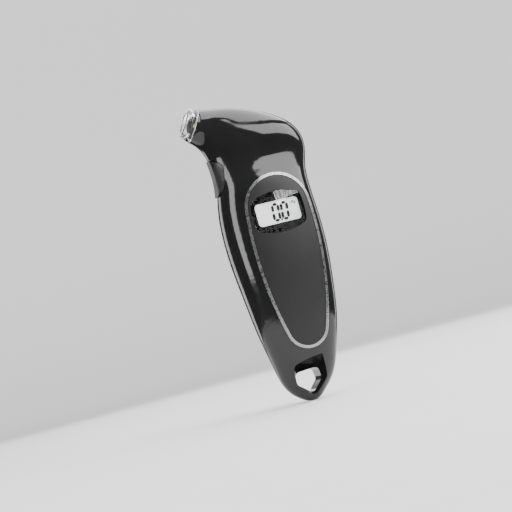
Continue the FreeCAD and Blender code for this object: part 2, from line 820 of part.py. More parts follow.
def make_nozzle():
    """Clear tip, rubber seal, valve depressor pin, brass core, o-ring and hose, on one axis."""
    gap = size("fit_gap")
    rim = size("nozzle_radius") + size("tip_rim_proud")
    tip_length = size("tip_length")
    chamfer = size("mouth_chamfer")
    mouth = size("mouth_radius")
    sleeve = size("sleeve_radius")
    tip = aim(turned("nozzle_tip", [
        (size("sleeve_bore"), -size("sleeve_length")), (sleeve, -size("sleeve_length")),
        (sleeve, -size("collar_end")), (size("collar_radius"), -size("collar_end")),
        (size("collar_radius"), -size("collar_start")), (sleeve, -size("collar_start")), (sleeve, 0), (rim, 0),
        (rim, size("tip_rim_height")), (size("nozzle_radius") - 0.1, size("tip_rim_height")),
        (size("tip_end_radius"), tip_length - chamfer), (size("tip_end_radius") - chamfer, tip_length),
        (mouth + chamfer, tip_length), (mouth, tip_length - chamfer), (mouth, -size("mouth_floor")),
        (size("sleeve_bore"), -size("mouth_floor"))]))
    seal = aim(turned("nozzle_seal", [
        (size("seal_hole"), -size("seal_end")), (size("seal_radius"), -size("seal_end")),
        (size("seal_radius"), -size("mouth_floor")), (size("seal_hole") + 0.6, -size("mouth_floor")),
        (size("seal_hole"), -size("mouth_floor") - 0.6)]))
    core = aim(turned("nozzle_core", [
        (size("air_bore"), -size("barb_end")), (size("barb_radius") - 0.3, -size("barb_end")),
        (size("barb_radius"), -size("barb_end") + 0.9), (size("barb_radius"), -size("core_end")),
        (size("core_radius"), -size("core_end")), (size("core_radius"), -size("ring_groove_end")),
        (size("ring_groove_floor"), -size("ring_groove_end")),
        (size("ring_groove_floor"), -size("ring_groove_start")),
        (size("core_radius"), -size("ring_groove_start")), (size("core_radius"), -size("seal_end")),
        (size("core_bore"), -size("seal_end")), (size("core_bore"), -size("core_step")),
        (size("air_bore"), -size("core_step"))]))
    pin = aim(turned("depressor_pin", [
        (0, -size("core_step")), (size("pin_flange_radius"), -size("core_step")),
        (size("pin_flange_radius"), -size("core_step") + size("pin_flange_height")),
        (size("pin_radius"), -size("core_step") + size("pin_flange_height")),
        (size("pin_radius"), -size("mouth_floor") - 0.3), (size("pin_radius") - 0.3, -size("mouth_floor")),
        (0, -size("mouth_floor"))]))
    ring = doc.addObject("Part::Torus", "o_ring")
    bind(ring, "Radius1", size("ring_groove_floor") + size("ring_wire") + 0.02)
    bind(ring, "Radius2", size("ring_wire"))
    aim(ring, -(size("ring_groove_start") + size("ring_groove_end")) / 2)
    tube = aim(turned("air_tube", [
        (size("tube_bore"), -size("tube_end")), (size("tube_radius"), -size("tube_end")),
        (size("tube_radius"), -size("tube_start")), (size("tube_bore"), -size("tube_start"))]))
    return {"nozzle_tip": tip, "nozzle_seal": seal, "nozzle_core": core, "depressor_pin": pin,
            "o_ring": ring, "air_tube": tube}


def make_sensor():
    """Pressure sensor on the end of the hose, and its pins down to the board."""
    end = -size("sensor_end")
    start = -size("sensor_start")
    radius = size("sensor_radius")
    port = size("sensor_port_radius")
    block_body = aim(turned("sensor_block", [
        (0, end), (radius - 0.6, end), (radius, end + 0.6), (radius, start - 2.4), (radius - 1.2, start - 2.0),
        (radius - 1.2, start), (port, start), (port, -size("sensor_port_start") - 0.6),
        (port - 0.3, -size("sensor_port_start")), (size("air_bore"), -size("sensor_port_start")),
        (size("air_bore"), end + 3), (0, end + 3)]))
    pins = [block("sensor_pin_%d" % number, (x - 0.25, x + 0.25), (size("board_back"), size("board_back") + 0.3),
                  (size("board_top") - 2.0, 118.0)) for number, x in enumerate((-0.5, 2.04, 4.58, 7.12))]
    below = cut("sensor_pins", fuse("sensor_pin_blanks", *pins), block_body)
    return {"sensor_block": block_body, "sensor_pins": below}


def make_lamp():
    """Small lamp that lights the clear nozzle tip, with its two leads to the board."""
    rim_end = -size("lamp_end") + 0.7
    dome = size("lamp_radius") * 0.55
    front = -size("lamp_start")
    lamp = aim(turned("nozzle_lamp", [
        (0, -size("lamp_end")), (size("lamp_rim_radius"), -size("lamp_end")),
        (size("lamp_rim_radius"), rim_end), (size("lamp_radius"), rim_end),
        (size("lamp_radius"), front - 0.7), (dome, front), (0, front)]), 0, size("lamp_offset"), size("lamp_y"))
    leads = []
    for number, side in enumerate((-0.5, 0.5)):
        down = size("lamp_offset").value + side * size("lead_spacing").value
        start = on_nozzle(-size("lamp_end").value, down, size("lamp_y").value)
        bend = on_nozzle(-size("lamp_end").value - 1.8 + side, down, size("lamp_y").value)
        finish = Vector(bend.x, bend.y, size("board_top").value - 1.2)
        leads.append(wire("lamp_lead_%d" % number, (start, bend, finish), size("lead_radius"), 0.5))
    return {"nozzle_lamp": lamp, "lamp_leads": group("lamp_leads", *leads)}


def wire(name, points, radius, bend):
    """A round wire along straight runs joined by tangent arcs."""
    edges = []
    start = points[0]
    for before, corner, after in zip(points, points[1:], points[2:]):
        back = (before - corner).normalize()
        ahead = (after - corner).normalize()
        half_turn = (math.pi - back.getAngle(ahead)) / 2
        reach = bend * math.tan(half_turn)
        first = corner + back * reach
        last = corner + ahead * reach
        inward = (back + ahead).normalize()
        middle = corner + inward * (bend / math.cos(half_turn) - bend)
        edges.append(Part.LineSegment(start, first).toShape())
        edges.append(Part.Arc(first, middle, last).toShape())
        start = last
    edges.append(Part.LineSegment(start, points[-1]).toShape())
    route = Part.Wire(edges)
    ring = Part.Wire(Part.Circle(points[0], points[1] - points[0], dim(radius).value).toShape())
    item = doc.addObject("Part::Feature", name)
    item.Shape = route.makePipeShell([ring], True, True)
    return item


# ---------------------------------------------------------------- display and electronics

def make_display():
    """LCD glass, light guide behind it, its two lamps, and the rubber strips that connect it."""
    x = size("display_x")
    z = size("display_z")
    half = size("glass_half_width")
    tall = size("glass_half_height")
    glass = block("lcd_glass", (x - half, x + half), (size("glass_front"), size("glass_back")),
                  (z - tall, z + tall))
    guide_tall = size("guide_half_height")
    guide = block("light_guide", (x - half, x + half), (size("glass_back"), size("guide_back")),
                  (z - guide_tall, z + guide_tall))
    strips = []
    for number, side in enumerate((-1, 1)):
        middle = z + (tall - size("strip_height") / 2) * side
        strips.append(block(
            "zebra_strip_%d" % number, (x - half + 0.6, x + half - 0.6), (size("glass_back"), size("board_front")),
            (middle - size("strip_height") / 2, middle + size("strip_height") / 2)))
    lamps = [block("backlight_%d" % number, (x + side - 1.4, x + side + 1.4), (-5.6, size("board_front")),
                   (z - 0.8, z + 0.8)) for number, side in enumerate((-7.0, 7.0))]
    return {"lcd_glass": glass, "light_guide": guide, "zebra_strips": group("zebra_strips", *strips),
            "backlight_lamps": group("backlight_lamps", *lamps)}


def make_board():
    """Main circuit board with its screw holes, the controller and the small parts around it."""
    left = size("board_left")
    notch = size("board_notch_left")
    right = size("board_right")
    low = size("board_low")
    top = size("board_top")
    corners = [(left, low), (right, low), (right, 101.0), (9.0, 108.0), (9.0, top), (notch, top),
               (notch, size("board_notch_z")), (left, size("board_notch_z"))]
    body = prism("board_blank", corners, (size("board_front"), size("board_back")))
    holes = [rod("board_hole_%d" % number, size("board_screw_radius") + 0.1, (x, -6, z), 5, Vector(0, 1, 0))
             for number, (x, z) in enumerate(BOARD_SCREWS)]
    board = cut("main_board", body, *holes)
    back = size("board_back")
    chip = block("micro_controller", (-2.0, 8.0), (back, back + 1.4), (80.0, 90.0))
    parts = [rod("crystal", 1.5, (-6.0, back, 76.0), 3.2, Vector(0, 1, 0)),
             rod("buzzer", 4.5, (6.5, back, 69.5), 2.2, Vector(0, 1, 0))]
    for number in range(6):
        x = -7.6 + 1.9 * (number % 2)
        z = 82.0 + 2.2 * (number // 2)
        parts.append(block("resistor_%d" % number, (x, x + 1.2), (back, back + 0.5), (z, z + 0.8)))
    for number in range(4):
        z = 95.0 + 2.4 * number
        parts.append(block("capacitor_%d" % number, (4.0, 6.0), (back, back + 1.1), (z, z + 1.25)))
    screws = screw_set("board_screws", BOARD_SCREWS, size("board_back").value + 0.02,
                       size("board_screw_length").value, radius=size("board_screw_radius"),
                       head_radius=size("board_screw_head"), head_height=dim(1.1))
    return {"main_board": board, "micro_controller": chip, "board_components": group("board_components", *parts),
            "board_screws": screws}


def make_trigger(forms):
    """Finger trigger with its lip and pusher, its return spring, and the switch that it presses."""
    gap = size("trigger_gap")
    face = common("trigger_face", trigger_prism("trigger_oval", -gap, -gap, (-26.0, -2.0)), forms["trigger_skin"])
    lip_oval = trigger_prism("trigger_lip_oval", size("trigger_lip_z"), size("trigger_lip_y"), (-26.0, -2.0))
    lip = common("trigger_lip", lip_oval, forms["trigger_lip"])
    dish_x = size("trigger_dish_x") - size("trigger_dish_radius")
    dish = rod("trigger_dish", size("trigger_dish_radius"), (dish_x, -20, size("trigger_z")), 40,
               Vector(0, 1, 0))
    pad_body = cut("trigger_pad", fuse("trigger_blank", face, lip), forms["trigger_core"], dish)
    post = rod("trigger_post", size("post_radius"), (size("post_start"), size("switch_y"), size("trigger_z")),
               size("post_end") - size("post_start"), Vector(1, 0, 0))
    button = fuse("trigger_button", pad_body, post)

    z = size("trigger_z")
    y = size("switch_y")
    half = size("switch_half")
    body = block("switch_body", (size("switch_front"), size("switch_back")), (y - half, y + half),
                 (z - half, z + half))
    room = rod("switch_bore", size("plunger_radius") + 0.05, (size("switch_front") - 1, y, z),
               size("plunger_room") - size("switch_front") + 1, Vector(1, 0, 0))
    switch = cut("side_switch", body, room)
    plunger = rod("switch_plunger", size("plunger_radius"), (size("plunger_front"), y, z),
                  size("plunger_back") - size("plunger_front"), Vector(1, 0, 0))
    length = size("switch_front") - size("spring_start") - size("spring_wire") * 2
    spring = coil("trigger_spring", size("spring_radius"), size("spring_wire"), length, size("spring_turns"))
    spring.Placement = Placement(
        Vector((size("spring_start") + size("spring_wire")).value, y.value, z.value), Rotation(Vector(0, 1, 0), 90))
    bind(spring, "Placement.Base.x", size("spring_start") + size("spring_wire"))
    bind(spring, "Placement.Base.z", z)
    return {"trigger_button": button, "side_switch": switch, "switch_plunger": plunger,
            "trigger_spring": spring}


def coil(name, radius, wire_radius, length, turns):
    """A round-wire helical spring along local Z."""
    helix = doc.addObject("Part::Helix", name + "_path")
    bind(helix, "Radius", radius)
    bind(helix, "Height", length)
    bind(helix, "Pitch", length / turns)
    section = doc.addObject("Part::Circle", name + "_section")
    section.Placement = Placement(Vector(0, 0, 0), Rotation(Vector(1, 0, 0), 90))
    bind(section, "Radius", wire_radius)
    bind(section, "Placement.Base.x", radius)
    sweep = doc.addObject("Part::Sweep", name)
    sweep.Sections = [section]
    sweep.Spine = (helix, ["Edge1"])
    sweep.Solid = True
    sweep.Frenet = True
    return sweep


# ---------------------------------------------------------------- batteries

def make_power(forms):
    """Battery tray with a coin-cell well and a button-cell trough, the cells, contacts and wires."""
    middle = size("tray_x")
    thickness = size("tray_thickness")
    gap = size("tray_gap")
    coin_z = size("coin_z")
    well = size("coin_radius") + gap
    back = size("tray_back")
    floor = size("tray_floor")
    well_block = block("well_block", (middle - well - 0.6, middle + well + 0.6), (floor - thickness, back),
                       (coin_z - well - 0.6, coin_z + well + 0.6))
    well_hole = rod("well_hole", well, (middle, floor, coin_z), 20, Vector(0, 1, 0))
    cell_x = size("cell_x")
    cell_y = size("cell_y")
    cell_low = size("cell_z")
    stack = size("cell_height") * 3 + size("cell_gap") * 2
    room = 1.2
    trough_radius = size("cell_radius") + gap
    trough_block = block(
        "trough_block", (cell_x - trough_radius - 1, cell_x + trough_radius + 1),
        (cell_y - trough_radius - 0.7, cell_y + 2.5), (cell_low - room - 1.0, coin_z - well))
    trough_hole = rod("trough_hole", trough_radius, (cell_x, cell_y, cell_low - room), stack + room * 2)
    trough_top = block("trough_top", (cell_x - trough_radius, cell_x + trough_radius), (cell_y, cell_y + 12),
                       (cell_low - room, cell_low + stack + room))
    lugs = []
    pilots = []
    for number, z in enumerate((size("cover_screw_low"), size("cover_screw_top"))):
        lug_back = cover_seat(number) - 1.25
        lugs.append(rod("tray_lug_%d" % number, size("lug_radius"), (middle, lug_back - 7.0, z), 7.0,
                        Vector(0, 1, 0)))
        pilots.append(rod("tray_pilot_%d" % number, size("screw_pilot"), (middle, lug_back - 5.5, z), 6,
                          Vector(0, 1, 0)))
    bridge = block("tray_bridge", (middle - 2.0, middle + 2.0), (floor - thickness, floor + 1),
                   (coin_z + well - 1, size("cover_screw_top")))
    raw = fuse("tray_raw", well_block, trough_block, bridge, *lugs)
    inside = common("tray_inside", raw, forms["tray_limit"])
    tray = cut("battery_tray", inside, well_hole, trough_hole, trough_top, *pilots)

    rim = 0.4
    coin_radius = size("coin_radius")
    coin = turned("coin_cell", [
        (0, 0), (coin_radius - 1.2, 0), (coin_radius - 1.2, 0.25), (coin_radius - rim, 0.25),
        (coin_radius, 0.25 + rim), (coin_radius, size("coin_height") - 0.2),
        (coin_radius - 0.2, size("coin_height")), (0, size("coin_height"))])
    coin.Placement = Placement(Vector(0, 0, 0), Rotation(Vector(1, 0, 0), -90))
    bind(coin, "Placement.Base.x", middle)
    bind(coin, "Placement.Base.y", size("coin_front"))
    bind(coin, "Placement.Base.z", coin_z)
    leaf = block("coin_leaf", (middle - 2.5, middle + 2.5), (floor + 0.05, floor + 0.05 + size("contact_sheet")),
                 (coin_z - 6, coin_z + 6))
    spring_pad = rod("coin_leaf_dome", 2.0, (middle, floor + 0.3, coin_z), 0.48, Vector(0, 1, 0))
    coin_contact = fuse("coin_cell_contact", leaf, spring_pad)

    cell = turned("button_cell_0", [
        (0, 0), (size("cell_radius") - 0.9, 0), (size("cell_radius") - 0.9, 0.5), (size("cell_radius"), 0.5),
        (size("cell_radius"), size("cell_height") - 0.3), (size("cell_radius") - 0.3, size("cell_height")),
        (0, size("cell_height"))])
    bind(cell, "Placement.Base.x", cell_x)
    bind(cell, "Placement.Base.y", cell_y)
    bind(cell, "Placement.Base.z", cell_low)
    doc.recompute()
    pitch = size("cell_height") + size("cell_gap")
    others = [link("button_cell_%d" % number, cell,
                   Vector(cell_x.value, cell_y.value, (cell_low + pitch * number).value)) for number in (1, 2)]
    top_plate = block("cell_plate", (cell_x - 3.5, cell_x + 3.5), (cell_y - 4.0, cell_y + 4.0),
                      (cell_low + stack + 0.02, cell_low + stack + 0.02 + size("contact_sheet")))
    conical = coil("cell_spring", dim(2.6), dim(0.2), dim(0.7), dim(1.5))
    conical.Placement = Placement(Vector(cell_x.value, cell_y.value, (cell_low - 0.95).value), Rotation())
    wires = []
    for number, x in enumerate((-8.1, 13.6)):
        start = Vector(x, 0.2, 58.6)
        corner = Vector(x, 0.2, 60.6)
        finish = Vector(x, size("board_back").value + 0.02, 60.6)
        wires.append(wire("battery_wire_%d" % number, (Vector(x, 0.2, 44.5), corner, finish),
                          size("wire_radius"), 0.9))
    return {"battery_tray": tray, "coin_cell": coin, "coin_cell_contact": coin_contact,
            "button_cells": group("button_cells", cell, *others),
            "button_cell_contacts": group("button_cell_contacts", top_plate, conical),
            "battery_wires": group("battery_wires", *wires)}


# ---------------------------------------------------------------- the whole gauge

def make_forms():
    """The casing's outer form at every inset that the sub-parts are trimmed to."""
    last = INSET_LAST
    front_cavity = half_form("front_cavity", size("wall"), CAVITY_FIRST, CAVITY_LAST)
    front = half_form("front_form", 0)
    plate_floor = half_form("plate_floor", size("plate_depth"), 1, last)
    seam_front = half_form("seam_front", size("seam_depth"), 0, len(STATIONS) - 2)
    core_front = half_form("trigger_core_front", size("trigger_back"), CAVITY_FIRST, CAVITY_LAST)
    return {
        "front": front,
        "rear": mirror("rear_form", front),
        "front_cavity": front_cavity,
        "rear_cavity": mirror("rear_cavity", front_cavity),
        "seam_core": fuse("seam_core", seam_front, mirror("seam_rear", seam_front)),
        "plate_floor": plate_floor,
        "window_back": half_form("window_back", size("window_thickness"), 1, last),
        "trim_top": half_form("trim_top", -size("trim_proud"), 1, last),
        "trim_groove_floor": half_form("trim_groove_floor", size("trim_groove_depth") - size("trim_proud"), 1, last),
        "trigger_skin": whole_form("trigger_skin", -size("trigger_proud"), 1, last),
        "trigger_lip": whole_form("trigger_lip_form", size("wall") + size("trigger_gap"), CAVITY_FIRST, CAVITY_LAST),
        "trigger_core": fuse("trigger_core", core_front, mirror("trigger_core_rear", core_front)),
        "cover_inner": mirror("cover_inner", half_form("cover_inner_front", size("cover_thickness"), 1, last)),
        "tray_limit": whole_form("tray_limit", size("wall") + 0.1, 1, last),
    }


def main():
    """Build every sub-part, check the document, and write the parts."""
    fill_sheet()
    forms = make_forms()
    doc.recompute()
    nodes = {}
    nodes.update(make_casing(forms))
    nodes.update(make_face(forms))
    nodes.update(make_cover(forms))
    nodes.update(make_nozzle())
    nodes.update(make_sensor())
    nodes.update(make_lamp())
    nodes.update(make_display())
    nodes.update(make_board())
    nodes.update(make_trigger(forms))
    nodes.update(make_power(forms))
    nodes["shell_screws"] = screw_set("shell_screws", SHELL_SCREWS, size("boss_floor").value,
                                      size("screw_length").value)
    doc.recompute()
    for item in doc.Objects:
        if "Invalid" in item.State or "Error" in item.State:
            raise RuntimeError("%s failed: %s" % (item.Name, item.State))
    for name, item in nodes.items():
        item.Label = name
        if item.Shape.isNull() or not item.Shape.isValid() or item.Shape.Volume <= 0:
            raise RuntimeError("%s has no valid shape" % name)
    os.makedirs("parts", exist_ok=True)
    for name, item in nodes.items():
        item.Shape.exportStep("parts/%s.step" % name)
        print("%-22s %2d solids  %9.2f mm3" % (name, len(item.Shape.Solids), item.Shape.Volume))


main()
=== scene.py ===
import json
import math

import bmesh
import bpy
from mathutils import Matrix, Vector


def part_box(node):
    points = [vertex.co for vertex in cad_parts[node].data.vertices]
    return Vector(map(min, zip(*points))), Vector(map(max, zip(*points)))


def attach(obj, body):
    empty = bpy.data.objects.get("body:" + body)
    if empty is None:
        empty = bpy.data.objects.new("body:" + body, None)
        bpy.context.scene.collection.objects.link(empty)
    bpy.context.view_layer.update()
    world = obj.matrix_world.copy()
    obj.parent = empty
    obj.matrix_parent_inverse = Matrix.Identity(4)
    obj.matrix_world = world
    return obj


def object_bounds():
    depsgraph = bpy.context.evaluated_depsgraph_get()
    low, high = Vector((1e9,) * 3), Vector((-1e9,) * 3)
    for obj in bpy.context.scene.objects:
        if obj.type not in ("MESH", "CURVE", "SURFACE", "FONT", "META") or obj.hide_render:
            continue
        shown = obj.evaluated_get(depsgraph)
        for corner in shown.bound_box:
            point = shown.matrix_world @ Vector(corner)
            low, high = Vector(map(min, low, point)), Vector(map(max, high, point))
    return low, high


# Looks of the digital tire pressure gauge: materials for every CAD node, the characters of its display,
# the stage, the lights and the camera. Metres, in the CAD model's own frame.

MM = 0.001

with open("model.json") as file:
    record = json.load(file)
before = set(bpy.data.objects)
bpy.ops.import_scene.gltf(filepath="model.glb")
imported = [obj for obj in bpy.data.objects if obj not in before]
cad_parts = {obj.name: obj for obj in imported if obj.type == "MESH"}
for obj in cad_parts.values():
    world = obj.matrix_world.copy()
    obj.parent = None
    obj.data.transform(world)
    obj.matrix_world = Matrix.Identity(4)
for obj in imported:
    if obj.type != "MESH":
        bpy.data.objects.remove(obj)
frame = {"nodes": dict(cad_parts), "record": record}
cad_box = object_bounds()


# ---------------------------------------------------------------- materials

class Shader:
    """A procedural material: a Principled shader with its noise textures, in object space."""

    def __init__(self, name, **sockets):
        self.material = bpy.data.materials.new(name)
        self.material.use_nodes = True
        self.nodes = self.material.node_tree.nodes
        self.links = self.material.node_tree.links
        self.shader = self.nodes["Principled BSDF"]
        self.place = self.nodes.new("ShaderNodeTexCoord").outputs["Object"]
        for socket, value in sockets.items():
            self.shader.inputs[socket.replace("_", " ")].default_value = value

    def noise(self, scale, detail=3.0, roughness=0.5, stretch=(1.0, 1.0, 1.0)):
        """A noise texture's value, over object space stretched along each axis."""
        mapping = self.nodes.new("ShaderNodeMapping")
        mapping.inputs["Scale"].default_value = stretch
        self.links.new(self.place, mapping.inputs["Vector"])
        texture = self.nodes.new("ShaderNodeTexNoise")
        texture.inputs["Scale"].default_value = scale
        texture.inputs["Detail"].default_value = detail
        texture.inputs["Roughness"].default_value = roughness
        self.links.new(mapping.outputs["Vector"], texture.inputs["Vector"])
        return texture.outputs["Fac"]

    def ramp(self, value, low, high, start=0.3, end=0.7):
        """A colour that runs from low to high as the value runs from start to end."""
        ramp = self.nodes.new("ShaderNodeValToRGB")
        for element, place, colour in zip(ramp.color_ramp.elements, (start, end), (low, high)):
            element.position = place
            element.color = (*colour, 1.0)
        self.links.new(value, ramp.inputs["Fac"])
        return ramp.outputs["Color"]

    def spread(self, value, low, high, start=0.3, end=0.7):
        """A number that runs from low to high as the value runs from start to end."""
        spread = self.nodes.new("ShaderNodeMapRange")
        spread.inputs["From Min"].default_value = start
        spread.inputs["From Max"].default_value = end
        spread.inputs["To Min"].default_value = low
        spread.inputs["To Max"].default_value = high
        self.links.new(value, spread.inputs["Value"])
        return spread.outputs["Result"]

    def colour(self, low, high, scale, **noise):
        """Vary the base colour between two colours."""
        self.links.new(self.ramp(self.noise(scale, **noise), low, high), self.shader.inputs["Base Color"])
        return self

    def rough(self, low, high, scale, **noise):
        """Vary the roughness between two values."""
        self.links.new(self.spread(self.noise(scale, **noise), low, high), self.shader.inputs["Roughness"])
        return self

    def bump(self, depth, scale, **noise):
        """Raise the surface by up to a depth in metres."""
        bump = self.nodes.new("ShaderNodeBump")
        bump.inputs["Distance"].default_value = depth
        bump.inputs["Strength"].default_value = 1.0
        self.links.new(self.noise(scale, **noise), bump.inputs["Height"])
        self.links.new(bump.outputs["Normal"], self.shader.inputs["Normal"])
        return self


def grey(value):
    """A neutral colour."""
    return (value, value, value)


def plastic(name, colour, rough, grain=0.00001, grain_scale=2500.0, vary=0.25, **sockets):
    """Moulded plastic: slightly uneven colour and gloss over a fine grain."""
    shader = Shader(name, **sockets)
    shader.colour(tuple(c * (1 - vary) for c in colour), tuple(c * (1 + vary) for c in colour), 60.0)
    shader.rough(rough * 0.85, rough * 1.2, 140.0)
    return shader.bump(grain, grain_scale)


def metal(name, colour, rough, brushing=(1.0, 1.0, 1.0)):
    """Turned or drawn metal, with fine tool marks."""
    shader = Shader(name, Metallic=1.0)
    shader.colour(tuple(c * 0.82 for c in colour), colour, 300.0, stretch=brushing)
    shader.rough(rough * 0.75, rough * 1.4, 900.0, stretch=brushing)
    return shader.bump(0.000002, 4000.0, stretch=brushing)


def make_gloss_black():
    """Polished black casing plastic with a faint haze of handling."""
    shader = Shader("gloss_black_plastic", IOR=1.5)
    shader.colour(grey(0.0045), grey(0.0075), 45.0)
    shader.rough(0.07, 0.13, 70.0, detail=5.0, roughness=0.65)
    return shader.bump(0.000002, 420.0, detail=2.0)


def make_satin_charcoal():
    """Satin painted face plate with a very fine sparkle of pigment."""
    shader = Shader("satin_charcoal", IOR=1.5, Specular_IOR_Level=0.3)
    shader.colour(grey(0.009), grey(0.014), 2200.0, detail=2.0)
    shader.rough(0.36, 0.44, 500.0)
    return shader.bump(0.000004, 5200.0, detail=2.0)


def make_clear(name, low, high, **sockets):
    """Clear moulded plastic with a faint haze."""
    shader = Shader(name, IOR=1.49, **sockets)
    shader.shader.inputs["Transmission Weight"].default_value = 1.0
    shader.colour(grey(0.93), grey(0.98), 80.0)
    shader.rough(low, high, 120.0)
    return shader.bump(0.000002, 500.0, detail=2.0)


def make_lcd():
    """Backlit liquid-crystal panel: a nearly even white that falls off towards its far corner."""
    shader = Shader("backlit_panel", Roughness=0.35)
    split = shader.nodes.new("ShaderNodeSeparateXYZ")
    shader.links.new(shader.place, split.inputs["Vector"])
    low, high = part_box("lcd_glass")
    across = shader.spread(split.outputs["X"], 0.0, 1.0, low.x, high.x)
    cloud = shader.noise(90.0, detail=2.0)
    both = shader.nodes.new("ShaderNodeMath")
    both.operation = "MULTIPLY_ADD"
    both.inputs[1].default_value = 0.25
    shader.links.new(cloud, both.inputs[0])
    shader.links.new(across, both.inputs[2])
    light = shader.ramp(both.outputs["Value"], (0.86, 0.89, 0.86), (0.66, 0.71, 0.67), 0.2, 1.2)
    shader.links.new(light, shader.shader.inputs["Emission Color"])
    shader.shader.inputs["Emission Strength"].default_value = 1.8
    shader.colour(grey(0.35), grey(0.42), 90.0)
    return shader.bump(0.000002, 3000.0)


def make_board():
    """Green solder mask with the faint weave of the laminate under it."""
    shader = Shader("solder_mask", IOR=1.5)
    shader.colour((0.004, 0.05, 0.016), (0.008, 0.09, 0.03), 700.0)
    shader.rough(0.22, 0.34, 300.0)
    return shader.bump(0.000006, 1600.0)


def make_materials():
    """One material to each slot of the record."""
    return {
        "gloss_black": make_gloss_black(),
        "satin_charcoal": make_satin_charcoal(),
        "bright_trim": metal("chromed_trim", grey(0.42), 0.28),
        "clear_lens": make_clear("clear_window_plastic", 0.015, 0.03),
        "clear_tip": make_clear("clear_nozzle_plastic", 0.08, 0.16),
        "mask_ink": plastic("mask_ink", grey(0.002), 0.7, Specular_IOR_Level=0.0),
        "lcd": make_lcd(),
        "diffuser": plastic("diffuser_plastic", grey(0.78), 0.45, vary=0.04),
        "black_rubber": plastic("black_rubber", grey(0.012), 0.6, 0.00002, 1800.0),
        "trigger_rubber": plastic("trigger_rubber", grey(0.006), 0.42, 0.00002, 2600.0),
        "silicone": plastic("silicone", grey(0.55), 0.4, vary=0.08),
        "brass": metal("brass", (0.78, 0.55, 0.24), 0.26),
        "steel": metal("zinc_plated_steel", (0.62, 0.63, 0.65), 0.3),
        "spring_steel": metal("spring_steel", (0.5, 0.5, 0.52), 0.24),
        "board_green": make_board(),
        "chip_black": plastic("chip_epoxy", grey(0.018), 0.55, 0.00001, 4000.0),
        "component": plastic("component_body", (0.30, 0.24, 0.17), 0.45),
        "lamp_white": plastic("lamp_lens", (0.86, 0.87, 0.84), 0.22, vary=0.04),
        "cell_steel": metal("cell_steel", (0.68, 0.68, 0.69), 0.22),
        "inner_plastic": plastic("inner_plastic", grey(0.035), 0.5, 0.00001, 1500.0),
        "wire_red": plastic("wire_insulation", (0.42, 0.015, 0.012), 0.4),
        "sensor_case": metal("sensor_can", (0.60, 0.60, 0.58), 0.34),
    }


def paint_nodes(materials):
    """Give every CAD node its slot's material."""
    for part in frame["record"]["subparts"]:
        node = frame["nodes"][part["node"]]
        node.data.materials.clear()
        node.data.materials.append(materials[part["material_slot"]].material)


def add_piece(name, mesh):
    """A scene object from a finished bmesh."""
    data = bpy.data.meshes.new(name)
    mesh.to_mesh(data)
    mesh.free()
    piece = bpy.data.objects.new(name, data)
    bpy.context.scene.collection.objects.link(piece)
    return piece


# ---------------------------------------------------------------- display characters

SEGMENT_WIDTH = 1.3 * MM
SEGMENT_GAP = 0.16 * MM
DIGIT_WIDTH = 2.6 * MM
DIGIT_HEIGHT = 7.2 * MM
DIGIT_STEP = 4.1 * MM
DIGIT_SLANT = 0.06
FIRST_DIGIT_X = -2.0 * MM
INK_DEPTH = 0.02 * MM
UNIT_X = 6.9 * MM
UNIT_Z = 2.0 * MM
UNIT_HEIGHT = 1.5 * MM
UNIT_STEP = 0.95 * MM
UNIT_STROKE = 0.3 * MM
UNIT_FILL = 0.66


def bar(start, end, width):
    """Corners of a flat bar between two points, cut to a point at each end as a display segment is."""
    along = (end - start).normalized()
    side = Vector((-along.y, along.x)) * width / 2
    tip = along * width / 2
    return [start, start + tip + side, end - tip + side, end, end - tip - side, start + tip - side]


def digit_bars(left, low, strokes):
    """The outlines of the named segments of one seven-segment digit."""
    right, top, middle = left + DIGIT_WIDTH, low + DIGIT_HEIGHT, low + DIGIT_HEIGHT / 2
    ends = {
        "top": ((left, top), (right, top)),
        "top_left": ((left, middle), (left, top)),
        "top_right": ((right, middle), (right, top)),
        "low_left": ((left, low), (left, middle)),
        "low_right": ((right, low), (right, middle)),
        "low": ((left, low), (right, low)),
    }
    outlines = []
    for stroke in strokes:
        start, end = (Vector(point) for point in ends[stroke])
        along = (end - start).normalized() * SEGMENT_GAP
        outlines.append(bar(start + along, end - along, SEGMENT_WIDTH))
    return outlines


def ink_piece(name, outlines, centre, surface_y, material):
    """Flat printed shapes of a little thickness, standing on the display's glass."""
    mesh = bmesh.new()
    for outline in outlines:
        points = [(centre.x + p.x + p.y * DIGIT_SLANT, surface_y, centre.z + p.y) for p in outline]
        face = mesh.faces.new([mesh.verts.new(point) for point in points])
        grown = bmesh.ops.extrude_face_region(mesh, geom=[face])
        raised = [v for v in grown["geom"] if isinstance(v, bmesh.types.BMVert)]
        bmesh.ops.translate(mesh, verts=raised, vec=(0.0, -INK_DEPTH, 0.0))
    bmesh.ops.recalc_face_normals(mesh, faces=mesh.faces)
    piece = add_piece(name, mesh)
    piece.data.materials.append(material)
    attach(piece, "casing")


def unit_bars():
    """The outlines of the strokes of the letters P, S and I."""
    wide, half = UNIT_STEP * UNIT_FILL, UNIT_HEIGHT / 2
    letters = (
        (((0, 0), (0, 2)), ((0, 2), (1, 2)), ((1, 2), (1, 1)), ((0, 1), (1, 1))),
        (((0, 0), (1, 0)), ((1, 0), (1, 1)), ((0, 1), (1, 1)), ((0, 1), (0, 2)), ((0, 2), (1, 2))),
        (((0, 0), (0, 2)),),
    )
    outlines = []
    for number, strokes in enumerate(letters):
        left = UNIT_X + number * UNIT_STEP
        for start, end in strokes:
            first, last = (Vector((left + x * wide, UNIT_Z + z * half)) for x, z in (start, end))
            outlines.append(bar(first, last, UNIT_STROKE))
    return outlines


